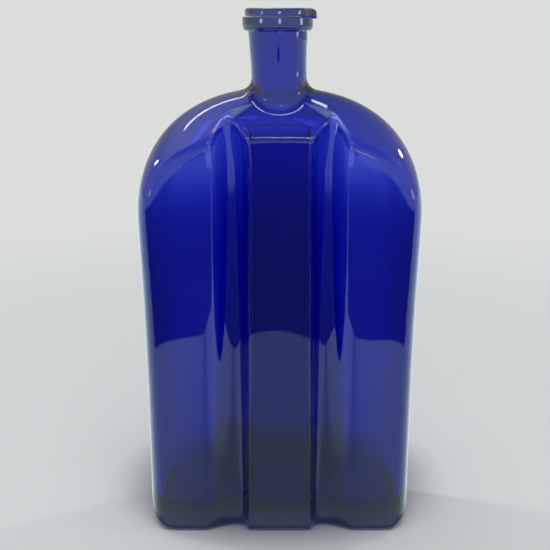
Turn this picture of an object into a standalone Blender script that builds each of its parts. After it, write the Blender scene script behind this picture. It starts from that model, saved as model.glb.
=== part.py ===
"""Tall flat glass bottle with an arched shoulder, two flutes on each face and a two-ring lip.

Metres, +Z up. The origin is the centre of the resting plane, the fluted front faces -Y.
Three glass pieces: the blown body with its neck, the lip's wide lower ring, and the
narrower top ring with the small tail of glass left where it was snapped off.
"""
import math
from collections import namedtuple
from functools import lru_cache

import bmesh
import bpy
import numpy as np
from mathutils import Matrix

# ---------------------------------------------------------------- overall
HEIGHT = 0.270
GAP = 0.0003                    # air left between two pieces that touch

# ---------------------------------------------------------------- body, outside
HALF_DEPTH = 0.026              # flat front panel to the bottle's middle plane
SPRING_HEIGHT = 0.1681          # straight sides end, arched shoulder starts
PANEL_POWER = 2.7               # squareness of the panel's arch seen from the front
RIDGE_POWER = 2.27              # and of the shoulder ridge's
PANEL_HALF_WIDTH = 0.0605
PANEL_RISE = 0.0406              # spring height to the top of the flat panel
RIDGE_HALF_WIDTH = 0.0725
RIDGE_RISE = 0.0638             # spring height to the top of the shoulder ridge
EDGE_POWER = 2.6                # squareness of the rounded upright edges
BEVEL_SLOPE = 1.22              # shoulder bevel, as a share of the rise per share of depth
CROWN_FALL = 0.90               # how fast the shoulder's crown falls away from the ridge
CROWN_POWER = 1.7
CROWN_BLEND = 0.12
SIDE_TAPER = 0.0026             # sides draw in by this much below the spring height
TAPER_LENGTH = 0.067
TAPER_POWER = 1.13

# ---------------------------------------------------------------- flutes, outside
# Each pair is a size at the foot and at the top of the panel.
FLUTE_CENTRE = (0.0232, 0.0238)         # deepest line, from the bottle's middle line
FLUTE_INNER_WIDTH = (0.0070, 0.0095)    # deepest line to the edge of the middle panel
FLUTE_OUTER_WIDTH = (0.0200, 0.0130)    # deepest line to the edge of the side panel
FLUTE_DEPTH = (0.0060, 0.0100)
FLUTE_POWER = (3.0, 1.6)                # squareness of the scoop's inner side
FLUTE_TURN = 0.0022                     # a flute's pointed top turns out by this much
FLUTE_TURN_START = 0.194
FLUTE_TURN_END = 0.222
FLUTE_EDGE_BLEND = 0.0012

# ---------------------------------------------------------------- neck and bore
NECK_RADIUS = 0.0139
NECK_TOP_RADIUS = 0.01455
NECK_FLARE_START = 0.2400
NECK_FLARE_END = 0.2580
NECK_FILLET = 0.0060
BORE_RADIUS = 0.0100
BORE_FILLET = 0.0050

# ---------------------------------------------------------------- glass thickness
WALL = 0.0036
BASE_THICKNESS = 0.0085

# ---------------------------------------------------------------- inside of the flutes
PINCH_DEPTH = 0.0122            # cavity's half depth behind a flute's deepest line
CENTRE_HALF_DEPTH = 0.0200      # and behind the middle panel, where the glass is thick
PINCH_SPREAD = 0.0150           # how gently the cavity narrows from the middle to a flute
PINCH_BLEND = 0.0030

# ---------------------------------------------------------------- base
HEEL_RADIUS = 0.0035            # front and back lower edges
HEEL_RINGS = (0.0, 0.08, 0.35)  # mesh rings up the heel, as shares of its radius
CORNER_RADIUS = 0.0070          # lower corners, across the bottle
CORNER_HEIGHT = 0.0100          # lower corners, up the bottle
CORNER_START = 0.040            # corner rounding starts this far from the middle
HOLLOW_HALF_WIDTH = 0.049       # shallow hollow under the base, inside the flat bearing face
HOLLOW_HALF_DEPTH = 0.0115
PUSH_UP = 0.0035                # height of that hollow at its middle
HOLLOW_RINGS = ((0.40, 0.90), (0.75, 0.55))  # shares of its width, and of its height there
INNER_HEEL_RADIUS = 0.0110
INNER_HEEL_RINGS = (1.0, 0.6, 0.3, 0.1, 0.0)
INNER_DOME = 0.0015

# ---------------------------------------------------------------- lip
COLLAR_BOTTOM = 0.2590
COLLAR_TOP = 0.2659
COLLAR_RADIUS = 0.0175
COLLAR_ROUND = 0.0014
RIM_RADIUS = 0.0163
RIM_ROUND = 0.00125
MOUTH_ROUND = 0.0014
TAIL_REACH = 0.0196             # bottle axis to the tip of the tail
TAIL_HALF_LENGTH = 0.0028
TAIL_HALF_WIDTH = 0.0031
TAIL_HALF_HEIGHT = 0.0024
TAIL_HEIGHT = 0.2672

# ---------------------------------------------------------------- mesh fineness
CENTRE_COLUMNS = 2              # middle panel, to one side of the middle line
FLUTE_INNER_COLUMNS = 3         # middle panel's edge to a flute's deepest line
FLUTE_OUTER_COLUMNS = 4         # and on to the side panel
PANEL_COLUMNS = 1               # side panel
PANEL_COLUMNS_END = 0.049
EDGE_COLUMNS = 8                # rounded upright edge and the bottle's side
OUTLINE_SAMPLES = 240
BISECTIONS = 40
RING_STEPS = 64
ROUND_STEPS = 4
TAIL_SEGMENTS = 20
TAIL_RINGS = 12
SMOOTH_ANGLE = math.radians(30)
MERGE = 0.00001
WALL_RINGS = 6                  # foot to the spring of the arch
PANEL_RINGS = 7                 # spring of the arch to the panel's top edge
CROWN_RINGS = 9                 # panel's top edge to the ridge
FILLET_RINGS = 4                # ridge to the plain neck
FLARE_RINGS = 3
BORE_RINGS = 3
CAVITY_WALL_RINGS = 4

NECK_END = COLLAR_TOP           # sheared end of the neck, level with the collar
RIM_BOTTOM = COLLAR_TOP + GAP
CREASE_HEIGHT = SPRING_HEIGHT + PANEL_RISE
RIDGE_HEIGHT = SPRING_HEIGHT + RIDGE_RISE
TURN_START = CREASE_HEIGHT + 0.003    # mesh columns turn towards the round neck from here
TURN_END = RIDGE_HEIGHT

Wall = namedtuple("Wall", [
    "half_depth", "panel_half_width", "panel_rise", "ridge_half_width", "ridge_rise",
    "cut_flutes", "throat_fillet", "throat_radius",
])


# ================================================================ shape of the body
def ease(share):
    """Smooth step from 0 to 1."""
    share = np.clip(share, 0, 1)
    return share * share * (3 - 2 * share)


def soft_least(first, second, blend):
    """The smaller of two values, with the corner between them rounded off."""
    near = np.maximum(blend - np.abs(first - second), 0)
    return np.minimum(first, second) - near * near / (4 * blend)


def neck_radius(height):
    """Outside radius of the neck: nearly straight, a little wider under the lip."""
    share = ease((height - NECK_FLARE_START) / (NECK_FLARE_END - NECK_FLARE_START))
    return NECK_RADIUS + (NECK_TOP_RADIUS - NECK_RADIUS) * share


def bore_radius(height):
    """Radius of the hole down the neck, the same all the way."""
    return BORE_RADIUS


def at_height(ends, height):
    """A flute's size at a height, from its sizes at the foot and at the panel's top."""
    foot, top = ends
    return foot + (top - foot) * height / CREASE_HEIGHT


def flute_centre(height):
    """Distance of a flute's deepest line from the bottle's middle line."""
    turn = ease((height - FLUTE_TURN_START) / (FLUTE_TURN_END - FLUTE_TURN_START))
    return at_height(FLUTE_CENTRE, height) + FLUTE_TURN * turn


def flute_inner_edge(height):
    """Where a flute meets the middle panel."""
    return flute_centre(height) - at_height(FLUTE_INNER_WIDTH, height)


def flute_outer_edge(height):
    """Where a flute runs out into the side panel."""
    return flute_centre(height) + at_height(FLUTE_OUTER_WIDTH, height)


def roll_out(offset, height):
    """Soft slope from 0 on a flute's deepest line to 1 where it meets the side panel."""
    share = np.clip(offset / at_height(FLUTE_OUTER_WIDTH, height), 0, 1)
    return (1 - np.cos(math.pi * share)) / 2


def cut_outer_flutes(across, depth, height):
    """Scoop the face: steep next to the middle panel, a long soft roll to the side panel."""
    offset = across - flute_centre(height)
    steep = np.abs(offset / at_height(FLUTE_INNER_WIDTH, height))
    steep = steep ** at_height(FLUTE_POWER, height)
    left = np.where(offset < 0, steep, roll_out(offset, height))
    floor = HALF_DEPTH - at_height(FLUTE_DEPTH, height) * (1 - left)
    return soft_least(depth, floor + FLUTE_EDGE_BLEND * left * left, FLUTE_EDGE_BLEND)


def cut_inner_flutes(across, depth, height):
    """Softer than outside: pinched behind each flute, and thick behind the middle panel."""
    offset = across - flute_centre(height)
    left = np.where(offset < 0, (offset / PINCH_SPREAD) ** 2, roll_out(offset, height))
    pinch = PINCH_DEPTH + (HALF_DEPTH - WALL - PINCH_DEPTH) * left
    behind_middle = np.where(offset < 0, CENTRE_HALF_DEPTH, 2 * HALF_DEPTH)
    floor = soft_least(pinch + PINCH_BLEND * left * left, behind_middle, PINCH_BLEND)
    return soft_least(depth, floor, PINCH_BLEND)


OUTSIDE = Wall(
    HALF_DEPTH, PANEL_HALF_WIDTH, PANEL_RISE, RIDGE_HALF_WIDTH, RIDGE_RISE,
    cut_outer_flutes, NECK_FILLET, neck_radius,
)
INSIDE = Wall(
    HALF_DEPTH - WALL, PANEL_HALF_WIDTH - WALL / 2, PANEL_RISE - WALL / 2,
    RIDGE_HALF_WIDTH - WALL, RIDGE_RISE - WALL,
    cut_inner_flutes, BORE_FILLET, bore_radius,
)


def crown_share(depth_share):
    """Rise of the shoulder: 1 on the ridge, 0 at the panel, straight bevel then round crown."""
    bevel = BEVEL_SLOPE * (1 - depth_share)
    crown = 1 - CROWN_FALL * depth_share ** CROWN_POWER
    top = soft_least(BEVEL_SLOPE, 1.0, CROWN_BLEND)
    return np.maximum(soft_least(bevel, crown, CROWN_BLEND), 0) / top


def edge_share(depth_share):
    """Spread of the rounded upright edges: 1 on the middle plane, 0 at the panel."""
    return np.maximum(1 - depth_share ** EDGE_POWER, 0) ** (1 / EDGE_POWER)


def side_taper(height):
    """How far the sides have drawn in at a height below the spring of the arch."""
    below = np.maximum(SPRING_HEIGHT - height, 0) / TAPER_LENGTH
    return SIDE_TAPER * np.tanh(below ** TAPER_POWER)


def body_field(wall, across, depth, height):
    """Negative inside the flat arched body, positive outside, roughly in metres."""
    depth_share = np.clip(depth / wall.half_depth, 0, 1)
    spread = wall.ridge_half_width - wall.panel_half_width
    climb = wall.ridge_rise - wall.panel_rise
    half_width = wall.panel_half_width + spread * edge_share(depth_share) - side_taper(height)
    bevel = crown_share(depth_share)
    rise = wall.panel_rise + climb * bevel
    power = PANEL_POWER + (RIDGE_POWER - PANEL_POWER) * bevel
    up = np.maximum(height - SPRING_HEIGHT, 0) / rise
    reach = ((across / half_width) ** power + up ** power) ** (1 / power)
    return np.maximum((reach - 1) * rise, depth - wall.half_depth)


def whole_field(wall, across, depth, height):
    """The body joined to its neck, or the cavity joined to its bore, with a fillet between."""
    throat = np.hypot(across, depth) - wall.throat_radius(height)
    return soft_least(body_field(wall, across, depth, height), throat, wall.throat_fillet)


def furthest(inside, limit):
    """Largest distance for which inside(distance) holds, found by halving."""
    low = np.zeros_like(limit)
    high = limit.copy()
    for _ in range(BISECTIONS):
        middle = (low + high) / 2
        held = inside(middle)
        low = np.where(held, middle, low)
        high = np.where(held, high, middle)
    return low


def outline_at_angles(wall, height, angles):
    """Points of the level outline along rays; angle 0 is the front, 90 degrees the side."""
    reach = furthest(
        lambda r: whole_field(wall, r * np.sin(angles), r * np.cos(angles), height) < 0,
        np.full(len(angles), 2 * RIDGE_HALF_WIDTH),
    )
    return reach * np.sin(angles), reach * np.cos(angles)


def depth_at(wall, across, heights):
    """Depth of the front face at given places across, each at its own height."""
    return furthest(
        lambda y: whole_field(wall, across, y, heights) < 0,
        np.full(len(across), 2 * HALF_DEPTH),
    )


# ================================================================ mesh columns and rings
def face_columns(height):
    """Places across the front held by upright mesh columns, out over the side panel."""
    middle = np.linspace(0, flute_inner_edge(height), CENTRE_COLUMNS + 1)
    scoop = np.linspace(middle[-1], flute_centre(height), FLUTE_INNER_COLUMNS + 1)
    roll = np.linspace(scoop[-1], flute_outer_edge(height), FLUTE_OUTER_COLUMNS + 1)
    panel = np.linspace(roll[-1], PANEL_COLUMNS_END, PANEL_COLUMNS + 1)
    return np.concatenate([middle, scoop[1:], roll[1:], panel[1:]])


@lru_cache(maxsize=None)
def top_edge(wall):
    """Height, above the spring, at which each column's upright face meets the shoulder."""
    crease = SPRING_HEIGHT + wall.panel_rise
    columns = face_columns(crease)
    face = wall.cut_flutes(columns, np.full(len(columns), wall.half_depth), crease)
    return furthest(
        lambda rise: depth_at(wall, columns, SPRING_HEIGHT + rise) > face - MERGE,
        np.full(len(columns), wall.ridge_rise),
    )


def dip_share(wall, height):
    """Rings bend to follow the faces' top edge, fully at the crease and not at all far off."""
    if height <= SPRING_HEIGHT + wall.panel_rise:
        share = (height - SPRING_HEIGHT) / wall.panel_rise
    else:
        share = (SPRING_HEIGHT + wall.ridge_rise - height) / (wall.ridge_rise - wall.panel_rise)
    return ease(share)


def spread_along(across, depth, count):
    """Pick count points along an outline, closer together where it turns."""
    steps = np.hypot(np.diff(across), np.diff(depth))
    heading = np.unwrap(np.arctan2(np.diff(depth), np.diff(across)))
    turning = np.abs(np.diff(heading, prepend=heading[0]))
    travel = np.concatenate([[0], np.cumsum(steps + HALF_DEPTH * turning / 2)])
    wanted = np.linspace(0, travel[-1], count + 1)[1:]
    return np.interp(wanted, travel, across), np.interp(wanted, travel, depth)


def straight_ring(wall, height):
    """A ring whose columns stay upright over the faces, before the flutes are cut."""
    columns = face_columns(height)
    levels = height - dip_share(wall, height) * (wall.panel_rise - top_edge(wall))
    front = depth_at(wall, columns, levels)
    angles = np.linspace(math.atan2(columns[-1], front[-1]), math.pi / 2, OUTLINE_SAMPLES)
    edge = spread_along(*outline_at_angles(wall, levels[-1], angles), EDGE_COLUMNS)
    across = np.concatenate([columns, edge[0]])
    depth = np.concatenate([front, edge[1]])
    return across, depth, np.concatenate([levels, np.full(EDGE_COLUMNS, levels[-1])])


def turned_ring_points(wall, height):
    """A ring over the shoulder, its columns turning to stand evenly round the neck."""
    across, depth, levels = straight_ring(wall, TURN_START)
    turn = ease((height - TURN_START) / (TURN_END - TURN_START))
    old_angles = np.arctan2(across, depth)
    even_angles = np.linspace(0, math.pi / 2, len(old_angles))
    angles = old_angles + (even_angles - old_angles) * turn
    dips = (TURN_START - levels) / dip_share(wall, TURN_START)
    levels = height - dip_share(wall, height) * dips
    return *outline_at_angles(wall, levels, angles), levels


def quarter_ring(wall, height):
    """Across, depth and height of one ring's points, from the front's middle to the side."""
    make = straight_ring if height < TURN_START else turned_ring_points
    across, depth, levels = make(wall, height)
    depth = wall.cut_flutes(across, depth, levels)
    across[0] = 0
    depth[-1] = 0
    return across, depth, levels


def quarter_turn_in(up, radius, height):
    """How far a rounded lower edge has drawn in at a height above its foot."""
    left = 1 - min(up / height, 1)
    return radius * (1 - math.sqrt(1 - left * left))


def foot_ring(wall, floor, up, heel, corner, corner_height):
    """A ring drawn in towards the foot: the heel front and back, the corner at the sides."""
    across, depth, levels = quarter_ring(wall, floor + up)
    share = ease((across - CORNER_START) / (across[-1] - CORNER_START))
    across = across - quarter_turn_in(up, corner, corner_height) * share
    depth = depth * (1 - quarter_turn_in(up, heel, heel) / depth.max())
    return across, depth, levels


def shrunk(ring, share, height):
    """A smaller copy of a ring at another height."""
    return ring[0] * share, ring[1] * share, np.full(len(ring[0]), height)


def between(start, end, count):
    """Evenly spaced values, the start left out."""
    return list(np.linspace(start, end, count + 1)[1:])


def eased_up(start, end, count):
    """Values from start to end that close up towards the end."""
    turns = np.linspace(0, math.pi / 2, count + 1)[1:]
    return [start + (end - start) * math.sin(turn) for turn in turns]


def hollow_ring(foot):
    """Edge of the hollow under the base, one point for each point of the foot's outline."""
    across = foot[0] * HOLLOW_HALF_WIDTH / foot[0][-1]
    share = (across / HOLLOW_HALF_WIDTH) ** RIDGE_POWER
    depth = HOLLOW_HALF_DEPTH * (1 - share) ** (1 / RIDGE_POWER)
    return across, depth, np.zeros(len(across))


def outer_rings():
    """Rings of the outside, from under the base up to the sheared end of the neck."""
    foot_heights = [share * HEEL_RADIUS for share in HEEL_RINGS]
    foot_heights += [HEEL_RADIUS, (HEEL_RADIUS + CORNER_HEIGHT) / 2, CORNER_HEIGHT]
    feet = [
        foot_ring(OUTSIDE, 0, up, HEEL_RADIUS, CORNER_RADIUS, CORNER_HEIGHT)
        for up in foot_heights
    ]
    hollow = hollow_ring(feet[0])
    rings = [shrunk(hollow, share, PUSH_UP * rise) for share, rise in HOLLOW_RINGS]
    rings += [hollow] + feet
    fillet_top = RIDGE_HEIGHT + NECK_FILLET
    heights = between(CORNER_HEIGHT, SPRING_HEIGHT, WALL_RINGS)
    heights += eased_up(SPRING_HEIGHT, CREASE_HEIGHT, PANEL_RINGS)
    heights += between(CREASE_HEIGHT, RIDGE_HEIGHT, CROWN_RINGS)
    heights += between(RIDGE_HEIGHT, fillet_top, FILLET_RINGS)
    heights += [NECK_FLARE_START]
    heights += between(NECK_FLARE_START, NECK_FLARE_END, FLARE_RINGS)
    heights += [NECK_END]
    return rings + [quarter_ring(OUTSIDE, height) for height in heights]


def inner_rings():
    """Rings of the bore and the cavity, from the neck's end down to the inner floor."""
    top = SPRING_HEIGHT + INSIDE.ridge_rise
    crease = SPRING_HEIGHT + INSIDE.panel_rise
    inner_heel_top = BASE_THICKNESS + INNER_HEEL_RADIUS
    heights = between(inner_heel_top, SPRING_HEIGHT, CAVITY_WALL_RINGS)
    heights += eased_up(SPRING_HEIGHT, crease, PANEL_RINGS)
    heights += between(crease, top, CROWN_RINGS)
    heights += between(top, top + BORE_FILLET, BORE_RINGS)
    heights += [NECK_FLARE_START, NECK_END]
    rings = [quarter_ring(INSIDE, height) for height in reversed(heights)]
    for share in INNER_HEEL_RINGS:
        rings.append(foot_ring(
            INSIDE, BASE_THICKNESS, INNER_HEEL_RADIUS * share,
            INNER_HEEL_RADIUS, INNER_HEEL_RADIUS, INNER_HEEL_RADIUS))
    rings.append(shrunk(rings[-1], 1 / 2, BASE_THICKNESS + INNER_DOME / 2))
    return rings


# ================================================================ Blender helpers
def clear_scene():
    """Remove everything already in the scene."""
    for old in list(bpy.data.objects):
        bpy.data.objects.remove(old, do_unlink=True)


def new_collection(name):
    collection = bpy.data.collections.new(name)
    bpy.context.scene.collection.children.link(collection)
    return collection


def glass_material(name, colour, roughness):
    """Cobalt glass for one piece."""
    material = bpy.data.materials.new(name)
    material.use_nodes = True
    shader = material.node_tree.nodes["Principled BSDF"]
    shader.inputs["Base Color"].default_value = (*colour, 1)
    shader.inputs["Roughness"].default_value = roughness
    shader.inputs["IOR"].default_value = 1.51
    shader.inputs["Transmission Weight"].default_value = 0.85
    return material


def new_object(name, mesh, collection):
    made = bpy.data.objects.new(name, mesh)
    collection.objects.link(made)
    return made


def mesh_from(name, points, faces, edges=()):
    mesh = bpy.data.meshes.new(name)
    mesh.from_pydata(points, list(edges), faces)
    mesh.validate()
    return mesh


def add_mirror(target, axis):
    """Mirror across the bottle's middle, joined on the middle plane."""
    mirror = target.modifiers.new("mirror", "MIRROR")
    mirror.use_axis = [place == axis for place in range(3)]
    mirror.merge_threshold = MERGE


def add_boolean(target, tool, operation):
    """Join or cut with another solid."""
    boolean = target.modifiers.new(operation.lower(), "BOOLEAN")
    boolean.operation = operation
    boolean.solver = "EXACT"
    boolean.object = tool


def rounded(points, radii):
    """A closed profile of (radius, height) corners with each corner rounded."""
    result = []
    count = len(points)
    for place, (corner, radius) in enumerate(zip(points, radii)):
        corner = np.array(corner)
        before = np.array(points[place - 1]) - corner
        after = np.array(points[(place + 1) % count]) - corner
        if radius == 0:
            result.append(tuple(corner))
            continue
        before = before / np.hypot(*before)
        after = after / np.hypot(*after)
        centre = corner + radius * (before + after)
        for step in range(ROUND_STEPS + 1):
            turn = step / ROUND_STEPS * math.pi / 2
            point = centre - radius * (after * math.cos(turn) + before * math.sin(turn))
            result.append(tuple(point))
    return result


def turned_ring(name, profile, collection):
    """A solid ring: the closed profile, at +X, swept round the bottle's axis."""
    points = [(radius, 0, height) for radius, height in profile]
    edges = [(place, (place + 1) % len(points)) for place in range(len(points))]
    ring = new_object(name, mesh_from(name, points, [], edges), collection)
    screw = ring.modifiers.new("turn", "SCREW")
    screw.axis = "Z"
    screw.angle = 2 * math.pi
    screw.steps = RING_STEPS
    screw.render_steps = RING_STEPS
    screw.use_merge_vertices = True
    screw.merge_threshold = MERGE
    screw.use_smooth_shade = True
    return ring


def make_cutter(target):
    """A tool solid: seen as wire, never rendered."""
    target.hide_render = True
    target.display_type = "WIRE"
    return target


# ================================================================ the pieces
def build_body(collection):
    """Blown body: one closed skin from under the base, up, over and down to the inner floor."""
    rings = outer_rings() + inner_rings()
    width = len(rings[0][0])
    points = [(0, 0, PUSH_UP)]
    for across, depth, levels in rings:
        points += [(x, -y, z) for x, y, z in zip(across, depth, levels)]
    points.append((0, 0, BASE_THICKNESS + INNER_DOME))
    last = len(points) - 1
    faces = []
    for column in range(width - 1):
        faces.append((0, 2 + column, 1 + column))
        for ring in range(len(rings) - 1):
            low = 1 + ring * width + column
            high = low + width
            faces.append((low, low + 1, high + 1, high))
        end = 1 + (len(rings) - 1) * width + column
        faces.append((end, end + 1, last))
    mesh = mesh_from("bottle_body", points, faces)
    mesh.shade_smooth()
    mesh.set_sharp_from_angle(angle=SMOOTH_ANGLE)
    body = new_object("bottle_body", mesh, collection)
    add_mirror(body, 0)
    add_mirror(body, 1)
    return body


def build_collar(collection):
    """Wide lower ring of the lip, wound round the end of the neck."""
    inner = NECK_TOP_RADIUS + GAP
    corners = [
        (inner, COLLAR_TOP), (COLLAR_RADIUS, COLLAR_TOP),
        (COLLAR_RADIUS, COLLAR_BOTTOM), (inner, COLLAR_BOTTOM),
    ]
    radii = [0, COLLAR_ROUND, COLLAR_ROUND, 0]
    return turned_ring("lip_collar", rounded(corners, radii), collection)


def build_tail(cutters):
    """The snapped-off tail of the rim's glass, a rounded lump pointing to +X."""
    shaper = bmesh.new()
    bmesh.ops.create_uvsphere(
        shaper, u_segments=TAIL_SEGMENTS, v_segments=TAIL_RINGS, radius=1,
        matrix=Matrix.LocRotScale(
            (TAIL_REACH - TAIL_HALF_LENGTH, 0, TAIL_HEIGHT), None,
            (TAIL_HALF_LENGTH, TAIL_HALF_WIDTH, TAIL_HALF_HEIGHT)),
    )
    mesh = bpy.data.meshes.new("tail_lump")
    shaper.to_mesh(mesh)
    shaper.free()
    mesh.shade_smooth()
    return make_cutter(new_object("tail_lump", mesh, cutters))


def build_rim(collection, cutters):
    """Narrow top ring with its tail, which hangs a little over the collar."""
    corners = [
        (BORE_RADIUS, HEIGHT), (RIM_RADIUS, HEIGHT),
        (RIM_RADIUS, RIM_BOTTOM), (BORE_RADIUS, RIM_BOTTOM),
    ]
    rim = turned_ring("lip_rim", rounded(corners, [MOUTH_ROUND, RIM_ROUND, 0, 0]), collection)
    add_boolean(rim, build_tail(cutters), "UNION")
    reach = COLLAR_RADIUS + GAP
    clearance_corners = [
        (NECK_RADIUS, RIM_BOTTOM), (reach, RIM_BOTTOM),
        (reach, COLLAR_BOTTOM), (NECK_RADIUS, COLLAR_BOTTOM),
    ]
    clearance = turned_ring("collar_clearance", clearance_corners, cutters)
    add_boolean(rim, make_cutter(clearance), "DIFFERENCE")
    return rim


def main():
    clear_scene()
    bottle = new_collection("arched_fluted_bottle")
    cutters = new_collection("cutters")
    pieces = {
        build_body(bottle): ((0.020, 0.045, 0.420), 0.04),
        build_collar(bottle): ((0.060, 0.090, 0.380), 0.08),
        build_rim(bottle, cutters): ((0.065, 0.095, 0.370), 0.08),
    }
    for piece, (colour, roughness) in pieces.items():
        piece.data.materials.append(glass_material(piece.name, colour, roughness))


main()
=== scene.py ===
"""Looks of the flat fluted cobalt bottle: fine glass surfaces, glass material, studio and camera.

Metres, +Z up, the front faces -Y. Each visible piece stands for one CAD node.
"""
import math
from collections import namedtuple
from functools import lru_cache

import bpy
import numpy as np
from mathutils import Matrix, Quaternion, Vector


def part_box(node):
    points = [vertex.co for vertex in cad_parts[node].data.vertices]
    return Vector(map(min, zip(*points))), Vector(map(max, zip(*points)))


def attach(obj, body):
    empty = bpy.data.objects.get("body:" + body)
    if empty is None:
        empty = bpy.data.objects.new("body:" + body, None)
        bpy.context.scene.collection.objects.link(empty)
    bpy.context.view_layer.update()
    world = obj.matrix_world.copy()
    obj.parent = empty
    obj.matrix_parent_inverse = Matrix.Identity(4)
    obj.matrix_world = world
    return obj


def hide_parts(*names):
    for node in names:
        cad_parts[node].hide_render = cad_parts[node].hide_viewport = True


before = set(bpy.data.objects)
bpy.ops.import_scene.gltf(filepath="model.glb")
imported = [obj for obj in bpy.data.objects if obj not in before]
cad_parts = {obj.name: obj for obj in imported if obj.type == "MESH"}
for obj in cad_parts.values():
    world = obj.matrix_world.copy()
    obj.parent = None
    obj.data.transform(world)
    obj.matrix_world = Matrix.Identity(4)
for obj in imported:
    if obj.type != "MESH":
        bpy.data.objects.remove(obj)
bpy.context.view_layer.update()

# ------------------------ sizes taken from the frame
_, BODY_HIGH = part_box("bottle_body")
COLLAR_LOW, COLLAR_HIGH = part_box("lip_collar")
_, RIM_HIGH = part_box("lip_rim")
HEIGHT = RIM_HIGH[2]
HALF_DEPTH = BODY_HIGH[1]
RIDGE_HALF_WIDTH = BODY_HIGH[0]
NECK_END = BODY_HIGH[2]
COLLAR_BOTTOM = COLLAR_LOW[2]
COLLAR_TOP = COLLAR_HIGH[2]
COLLAR_RADIUS = COLLAR_HIGH[0]
GAP = 0.0003                    # air left between two pieces that touch
RIM_BOTTOM = COLLAR_TOP + GAP
RIM_RADIUS = RIM_HIGH[1]
TAIL_REACH = RIM_HIGH[0]

# ------------------------ body, outside
SPRING_HEIGHT = 0.1681           # straight sides end, arched shoulder starts
PANEL_POWER = 2.7
RIDGE_POWER = 2.27
PANEL_HALF_WIDTH = 0.0605
PANEL_RISE = 0.0406
RIDGE_RISE = 0.0638
EDGE_POWER = 2.6
BEVEL_SLOPE = 1.22
CROWN_FALL = 0.90
CROWN_POWER = 1.7
CROWN_BLEND = 0.12
SIDE_TAPER = 0.0026
TAPER_LENGTH = 0.067
TAPER_POWER = 1.13
CREASE_BLEND = 0.0011           # roundness of the crease between panel and bevel
INNER_CREASE_BLEND = 0.0040     # the same crease on the inside, much softer

# ------------------------ flutes
# Each pair is a size at the foot and at the top of the panel.
FLUTE_CENTRE = (0.0232, 0.0238)         # deepest line, from the bottle's middle line
FLUTE_INNER_WIDTH = (0.0070, 0.0095)    # deepest line to the edge of the middle panel
FLUTE_OUTER_WIDTH = (0.0200, 0.0130)    # deepest line to the edge of the side panel
FLUTE_DEPTH = (0.0060, 0.0100)
FLUTE_POWER = (3.0, 1.6)                # squareness of the scoop's inner side
FLUTE_TURN = 0.0022                     # a flute's pointed top turns out by this much
FLUTE_TURN_START = 0.194
FLUTE_TURN_END = 0.222
FLUTE_EDGE_BLEND = 0.0013
PINCH_DEPTH = 0.0118                    # half depth of the cavity behind a flute
CENTRE_HALF_DEPTH = 0.0184              # and behind the middle panel, where the glass is thick
PINCH_SPREAD = 0.0118
PINCH_BLEND = 0.0030

# ------------------------ neck, bore, glass thickness
NECK_RADIUS = 0.0139
NECK_TOP_RADIUS = 0.01455
NECK_FLARE_START = 0.2400
NECK_FLARE_END = 0.2580
NECK_FILLET = 0.0060
FILLET_IN_FRONT = 0.40          # the fillets are tighter in front of the neck than beside it
BORE_RADIUS = 0.0100
BORE_FILLET = 0.0050
WALL = 0.0042
BASE_THICKNESS = 0.0085
THINNING = 0.16                 # the walls get thinner towards the shoulder
SIDE_THINNING = 0.026
THIN_START = 0.150
THIN_END = 0.205
SIDE_THIN_START = 0.110         # the upright edges thin out from lower down
SIDE_THIN_END = 0.180
THIN_OVER = 0.216               # and are back to the plain thickness above the crown
THIN_BACK = 0.232
THINNEST = 0.0011
THINNEST_BLEND = 0.0010

# ------------------------ base
HEEL_RADIUS = 0.0035
CORNER_RADIUS = 0.0070
CORNER_HEIGHT = 0.0100
CORNER_START = 0.040
HOLLOW_HALF_WIDTH = 0.049
HOLLOW_HALF_DEPTH = 0.0115
PUSH_UP = 0.0035
INNER_HEEL_RADIUS = 0.0110
INNER_DOME = 0.0015

# ------------------------ hand-made unevenness
OUTER_WAVE = 0.00016            # how far the outside wanders in from the true shape
INNER_WAVE = 0.00055
NECK_LEAN = -0.0011             # the neck stands this far to the left at its top
LEAN_START = 0.215
SEAM_HEIGHT = 0.00012           # mould seam up each side
SEAM_HALF_WIDTH = 0.0006
SEAM_FROM = 0.6                 # shares of the half width between which the seam rises
SEAM_TO = 0.8
WAVE_SQUARENESS = 3             # waves draw in square to the faces, not towards the axis

# ------------------------ mesh fineness
MIDDLE_COLUMNS = 8              # from the middle line towards the middle panel's edge
MIDDLE_EDGE_COLUMNS = 4         # the last part of the way to that edge
MIDDLE_EDGE_START = 0.7
SCOOP_COLUMNS = 15
ROLL_COLUMNS = 17
PANEL_COLUMNS = 4
PANEL_COLUMNS_END = 0.049
EDGE_COLUMNS = 26
EVEN_PART = 0.45                # how evenly columns are spread where they close in at ends
OUTLINE_SAMPLES = 900
BISECTIONS = 34
LIP_STEPS = 224
ROUND_STEPS = 7
SHARP_ANGLE = 40                # degrees between faces that are not shaded as one

HOLLOW_RINGS = 13
HOLLOW_SHARES = (0.06, 0.98)    # smallest and largest ring under the base
BEARING_SHARES = (0, 0.15, 0.5, 0.85)
HEEL_RINGS = 9
CORNER_RINGS = 6
SIDE_RINGS = 52
ARCH_RINGS = 42
SHOULDER_RINGS = 44
FILLET_RINGS = 14
NECK_RINGS = 8
FLARE_RINGS = 8
INNER_SIDE_RINGS = 36
INNER_ARCH_RINGS = 22
INNER_SHOULDER_RINGS = 30
INNER_FILLET_RINGS = 8
BORE_RINGS = 12
INNER_HEEL_RINGS = 12
FLOOR_RINGS = 9
FLOOR_SHARES = (0.92, 0.06)     # largest and smallest ring of the inner floor

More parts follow.
